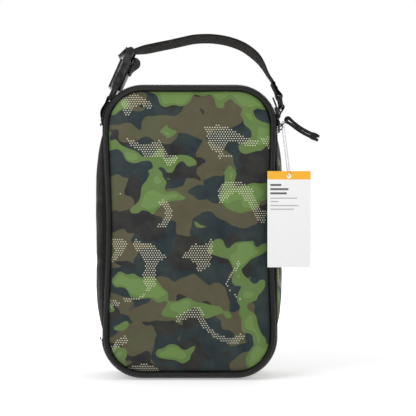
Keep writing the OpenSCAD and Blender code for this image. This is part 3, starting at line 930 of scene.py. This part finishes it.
def tooth(s, root_y, tip_y):
    """Rings of a rounded tooth that crosses the chain at distance s of the outline. The middle rings are set
    for the lid's row; the tub's row reaches 0.35 mm past its root_y and 0.45 mm past its tip_y."""
    (x, z), normal = outline_at(s, BAND_OUT)
    run = np.array((normal[1], -normal[0]))
    centre = np.array((x, z)) + normal * 0.75 * MM
    rings = []
    for y, size in ((root_y, 0.45), (root_y + 0.35 * MM, 1.0), (tip_y - 0.45 * MM, 1.0), (tip_y, 0.6)):
        ring = []
        for k in range(TOOTH_SIDES):
            angle = 2 * math.pi * k / TOOTH_SIDES
            flat = centre + size * MM * (0.36 * run * math.cos(angle) + 0.72 * normal * math.sin(angle))
            ring.append((flat[0], y, flat[1]))
        rings.append(ring)
    return rings


def teeth(name, node, body, root_y, tip_y, phase):
    """One row of the zipper's teeth, on one tape; phase sets it off along the chain, in teeth."""
    verts, faces = [], []
    for k in range(int((ZIP_LENGTH - 2 * MM) / TOOTH_PITCH)):
        rings = tooth(1 * MM + (k + phase) * TOOTH_PITCH, root_y, tip_y)
        start = len(verts)
        for ring in rings:
            verts += ring
        last = start + TOOTH_SIDES * (len(rings) - 1)
        for ring_start in range(start, last, TOOTH_SIDES):
            for j in range(TOOTH_SIDES):
                a = ring_start + j
                b = ring_start + (j + 1) % TOOTH_SIDES
                faces.append((a, b, b + TOOTH_SIDES, a + TOOTH_SIDES))
        faces.append([start + j for j in range(TOOTH_SIDES)])
        faces.append([last + j for j in reversed(range(TOOTH_SIDES))])
    finish_piece(add_object(name, smooth_mesh(name, verts, faces)), TEETH, body, node)


# ---- Webbing ----

# Headings are in degrees, as direction() takes them
BUCKLE_HEADING = 66
RING_HEADING = -80
STRAP_RISE = 13.5
BUCKLE_BAR = np.array((-75, 261.5)) * MM
PLUG_BAR = BUCKLE_BAR + 46 * MM * direction(BUCKLE_HEADING)
BAR_WRAP = 2.35 * MM
RING_WRAP = 2.2 * MM
PLY = 0.78 * MM
RING_DROP = 10 * MM

# The strap's path from the plug: straights by length, turns by radius in millimetres and angle in degrees
STRAP_LEGS = ((58,), (75, 38.5), (45, 25), (60, 14), (30,))

# The strap's tail from its cut end to the plug's bar: across and up the buckle from that bar, in millimetres
TAIL = ((7.2, -18), (7.4, -14), (8.2, -9), (9.0, -4.6), (7.2, -1.8), (3.2, -2.4))
CROWN_SAG = 2.2 * MM


def walk(point, heading, legs):
    """Points of a path of straights, given by length, and right turns, given by radius and angle."""
    points = [np.array(point, float)]
    for leg in legs:
        if len(leg) == 1:
            points.append(points[-1] + leg[0] * MM * direction(heading))
            continue
        radius, turn = leg
        steps = math.ceil(turn / 4)
        centre = points[-1] - radius * MM * direction(heading + 90)
        for k in range(1, steps + 1):
            points.append(centre + radius * MM * direction(heading + 90 - turn * k / steps))
        heading -= turn
    return np.array(points)


ARCH = walk(PLUG_BAR + BAR_WRAP * direction(90 + STRAP_RISE), STRAP_RISE, STRAP_LEGS)
STRAP_END = ARCH[-1]
RING_LOW = STRAP_END + RING_DROP * direction(RING_HEADING)


def left_normals(path):
    ahead = np.gradient(path, axis=0)
    ahead /= np.linalg.norm(ahead, axis=1)[:, None]
    return np.column_stack((-ahead[:, 1], ahead[:, 0]))


def round_bar(path, wrap, layer, back):
    """The path, doubled back round a bar at its end for a length back: wrap is the radius round the bar,
    and layer is how far each of the two layers lies from the middle of the pair."""
    path = resample(path, 1.5 * MM)
    normals = left_normals(path)
    left_over = lengths(path)[-1] - lengths(path)
    spread = smooth(1 - (left_over - back) / (9 * MM))
    offset = layer * spread + (wrap - layer) * smooth(1 - left_over / (7 * MM))
    up = path + normals * offset[:, None]
    first = math.degrees(math.atan2(normals[-1][1], normals[-1][0]))
    arc = [path[-1] + wrap * direction(first - a) for a in np.linspace(0, 180, 10)[1:-1]]
    down = (path - normals * offset[:, None])[left_over <= back][::-1]
    return np.vstack((up, arc, down))


def strap_surface(name, path, width, seed, wobble=0.25, twist=None):
    """A woven strap that runs along a path in the XZ plane and is width wide in Y. twist gives, for a
    distance along it and its length, how far it has turned about its own run, in degrees."""
    path = resample(path, 2.0 * MM)
    normals = left_normals(path)
    s = lengths(path)
    profile = squared_circle(28, 0.55, 0.35)
    rows = []
    for i, (point, normal) in enumerate(zip(path, normals)):
        lift = wobble * MM * ripple(s[i] / (21 * MM), seed)
        sway = 0.3 * MM * ripple(s[i] / (28 * MM), seed + 4)
        turn = math.radians(twist(s[i], s[-1])) if twist else 0.0
        row = []
        for a, b in profile:
            cup = 0.25 * MM * a * a * ripple(s[i] / (16 * MM), seed + 2)
            through = b * STRAP_T / 2 * 0.97 + cup
            across = a * width / 2
            xz = point + normal * (through * math.cos(turn) - across * math.sin(turn) + lift)
            row.append((xz[0], STRAP_Y + sway + across * math.cos(turn) + through * math.sin(turn), xz[1]))
        rows.append(row)
    across = [a * width / 2 / MM for a, _ in profile]
    return surface(name, rows, s / MM, across + across[:1], False, True, caps=True)


def strap_twist(s, length):
    """Slack turn of the carry strap: its front edge rides up over the arch, and its tail hangs askew."""
    tail = 15 * smooth((s - 3 * MM) / (10 * MM)) * smooth((28 * MM - s) / (8 * MM))
    arch = 15 * smooth((s - 26 * MM) / (22 * MM)) * smooth((length - 42 * MM - s) / (30 * MM))
    return tail + arch


def handle():
    """Carry strap: sewn round the ring, over in an arch, through the plug and down as a short tail."""
    arch = ARCH.copy()
    arch[:, 1] -= CROWN_SAG * np.sin(math.pi * lengths(arch) / lengths(arch)[-1])
    arch = round_bar(arch, RING_WRAP, PLY, 16 * MM)
    up = direction(BUCKLE_HEADING)
    right = direction(BUCKLE_HEADING - 90)
    tail = [PLUG_BAR + (x * right + z * up) * MM for x, z in TAIL]
    loop = [PLUG_BAR + BAR_WRAP * direction(a) for a in np.linspace(240, 90 + STRAP_RISE + 12, 12)]
    strap = strap_surface("carry_strap", np.vstack((tail, loop, arch)), STRAP_W, 1.7, 0.4, strap_twist)
    finish_piece(strap, WEBBING, None, "handle_webbing")
    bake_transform(strap)


TAB_FOOT_X = HALF_W + BAND_OUT + STRAP_T + 0.1 * MM
TAB_FOOT_Z = MID_Z + CORNER_Z + 4 * MM


def tabs():
    """Doubled straps that stand up from the gusset's upper corners to the buckle and to the ring."""
    left_foot = np.array((-TAB_FOOT_X, TAB_FOOT_Z))
    right_foot = np.array((TAB_FOOT_X, TAB_FOOT_Z))
    left = [left_foot + np.array(step) * MM for step in ((0, 0), (-0.4, 6), (-0.6, 13))] + [BUCKLE_BAR]
    right = (right_foot, RING_LOW * 0.55 + right_foot * 0.45, RING_LOW)
    for name, path, wrap, node, body in (
        ("left_tab", left, BAR_WRAP, "tab_left", "socket"),
        ("right_tab", right, RING_WRAP, "tab_right", "handle"),
    ):
        tab = strap_surface(name, round_bar(np.array(path), wrap, PLY, 1.0), STRAP_W, 5.5, 0.1)
        finish_piece(tab, WEBBING, None, node)
        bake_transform(tab)


def tack(point, heading, side):
    """A row of zigzag thread across a doubled strap, at a point of a strap with a heading in degrees."""
    ahead = direction(heading)
    out = direction(heading + 90) * side * (STRAP_T + 0.18 * MM)
    corners = []
    for k, y in enumerate(np.linspace(STRAP_Y - 8.4 * MM, STRAP_Y + 8.4 * MM, 22)):
        xz = point + out + ahead * (0.7 * MM * (1 if k % 2 else -1))
        corners.append((xz[0], y, xz[1]))
    return tube("tack", corners, 0.28 * MM, 6)


def stitching():
    """Tacking on the tabs' feet and on the strap's hem by the ring."""
    rows = []
    for up in (3, 7):
        z = TAB_FOOT_Z + (1 + up) * MM
        rows.append(tack(np.array((-TAB_FOOT_X - 0.09 * up * MM, z)), 95, 1))
        rows.append(tack(np.array((TAB_FOOT_X + 0.35 * up * MM, z)), 70.6, -1))
    finish_piece(join("tab_tacking", rows), THREAD, "root", "tab_stitches")
    heading = -64
    rows = [tack(STRAP_END - back * MM * direction(heading), heading, 1) for back in (9, 14)]
    finish_piece(join("strap_tacking", rows), THREAD, "handle", "webbing_stitches")


# ---- Cord puller ----

LINK_END = np.array((90.894, 238.785)) * MM
CORD_HEADING = -31
CORD_R = 1.5 * MM
STRAND = 2.2 * MM
CORD_LEN = 33 * MM
WHIPPING_TURNS = 9
WHIPPING_STEPS = 28


def cord_point(along, up, y=0.0):
    """A point of the puller's own plane in the frame: along the cord and across it."""
    xz = LINK_END + along * direction(CORD_HEADING) + up * direction(CORD_HEADING + 90)
    return (xz[0], CHAIN_Y + y, xz[1])


def cord_sag(t):
    """How far the middle of the pair hangs below its chord."""
    return -1.6 * MM * math.sin(math.pi * min(t / CORD_LEN, 1)) ** 1.2


def cord_gap(t):
    """Half the strands' distance: apart at the link, then side by side, then splayed at the cut ends."""
    splay = 0.7 * MM * smooth((t - CORD_LEN + 2.5 * MM) / (3 * MM))
    return CORD_R + (STRAND - CORD_R) * math.exp(-t / (2.5 * MM)) + splay


def strand(side, length):
    """One strand from the link to its cut end: side is 1 for the upper one and -1 for the lower."""
    return [cord_point(t, cord_sag(t) + side * cord_gap(t), side * 0.3 * MM * math.sin(t / (5 * MM)))
            for t in np.linspace(0, length, 24)]


def cord_puller():
    """Doubled braided cord looped through the link, its two cut ends held by a whipping."""
    turns = np.linspace(0, math.pi, 12)[1:-1]
    bend = [cord_point(-STRAND * math.sin(a), STRAND * math.cos(a)) for a in turns]
    path = strand(1, CORD_LEN - 0.4 * MM)[::-1] + bend + strand(-1, CORD_LEN + 0.6 * MM)
    path = resample(path, 1.0 * MM)
    left_over = np.minimum(lengths(path), lengths(path)[-1] - lengths(path))
    radius = CORD_R * (0.8 + 0.2 * smooth(left_over / (1.6 * MM))) * 0.98
    cord = tube("pull_cord_braid", path, radius, 14)
    finish_piece(cord, CORD, "cord", "pull_cord")
    hold = CORD_R + 0.25 * MM
    wound = []
    for k in range(WHIPPING_TURNS * WHIPPING_STEPS + 1):
        a = 2 * math.pi * k / WHIPPING_STEPS
        along = CORD_LEN - 7 * MM + 5 * MM * k / (WHIPPING_TURNS * WHIPPING_STEPS)
        up = hold * math.sin(a) + CORD_R * math.copysign(smooth(abs(math.sin(a)) * 2.2), math.sin(a))
        wound.append(cord_point(along, up + cord_sag(along), hold * math.cos(a)))
    whipping = tube("cord_binding", wound, 0.32 * MM, 7)
    finish_piece(whipping, THREAD, "cord", "cord_whipping")


# ---- CAD nodes that stay as they are, with their finish ----


def dress(material, *nodes):
    for node in nodes:
        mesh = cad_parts[node].data
        mesh.materials.clear()
        mesh.materials.append(material)


# ---- Studio ----


def studio():
    """Pale floor that fades to the white of the surroundings, and soft light."""
    far = 6.0
    floor = surface("floor", [[(x, y, 0.0) for x in (-far, far)] for y in (-far, far)], (0, 1), (0, 1),
                    facing=(0, 0, 1))
    look = Look("floor_paint", 0.9, 0.05)
    place = look.place()
    speck = look.noise(place, 60, 2.0)
    look.set("Base Color", look.mix(speck, (0.92, 0.92, 0.92, 1), (0.94, 0.94, 0.94, 1)))
    distance = look.add("VectorMath", {0: place}, operation="LENGTH").outputs["Value"]
    look.set("Emission Color", (1, 1, 1, 1))
    look.set("Emission Strength", look.rise(distance, 250, 900, 0.42, 1.0))
    floor.data.materials.append(look.material)
    lamps = (
        ("key", (-0.8, -1.0, 0.9), 0.7, 8.0),
        ("fill", (1.0, -0.8, 0.5), 0.9, 2.0),
        ("top", (-0.1, 0.0, 1.3), 1.0, 4.0),
        ("back", (0.5, 1.2, 0.8), 1.0, 3.0),
    )
    for name, where, size, power in lamps:
        light = bpy.data.lights.new(name, "AREA")
        light.size = size
        light.energy = power
        lamp = add_object(name, light)
        lamp.location = where
        lamp.rotation_euler = (Vector((0, 0, 0.14)) - Vector(where)).to_track_quat("-Z", "Y").to_euler()
    world = bpy.data.worlds.new("studio")
    world.use_nodes = True
    background = world.node_tree.nodes["Background"]
    background.inputs[0].default_value = (1, 1, 1, 1)
    rays = world.node_tree.nodes.new("ShaderNodeLightPath")
    strength = world.node_tree.nodes.new("ShaderNodeMapRange")
    strength.inputs[3].default_value = 0.32
    strength.inputs[4].default_value = 1.0
    world.node_tree.links.new(rays.outputs["Is Camera Ray"], strength.inputs[0])
    world.node_tree.links.new(strength.outputs[0], background.inputs[1])
    bpy.context.scene.world = world
    bpy.context.scene.view_settings.view_transform = "Standard"


def camera():
    """At the bag's mid height, square to its front, the lens shifted to take in the tag and the handle."""
    lens = bpy.data.cameras.new("camera")
    lens.sensor_width = 36
    lens.lens = 94.9
    lens.shift_x = 0.0445
    lens.shift_y = 0.0588
    lens.clip_start = 0.01
    view = add_object("camera", lens)
    view.location = (0, PIPING_LO[1] - 1.0, MID_Z - 1 * MM)
    view.rotation_euler = (math.pi / 2, 0, 0)
    bpy.context.scene.camera = view


panels()
piping("front_cording", FRONT_PIPING_Y, 0.0, "front_piping", "lid", 0.7)
piping("rear_cording", REAR_PIPING_Y, BAND_OUT, "rear_piping", "root", 4.2)
gusset()
lid_lining()
tub_lining()
bands()
hinge()
teeth("lid_teeth", "zip_coil_lid", "lid", CHAIN_Y - 2.7 * MM, CHAIN_Y - 0.45 * MM, 0.0)
teeth("tub_teeth", "zip_coil_body", "root", CHAIN_Y + 2.7 * MM, CHAIN_Y + 0.45 * MM, 0.5)
handle()
tabs()
stitching()
cord_puller()
dress(ACETAL, "buckle_socket", "buckle_plug", "prong_front", "prong_rear", "strap_ring")
dress(LACQUER, "slider_lower", "slider_upper", "pull_link", "pull_tab_upper", "zip_stops")
dress(CARD, "swing_tag")
dress(CLEAR, "tag_loop")
studio()
camera()
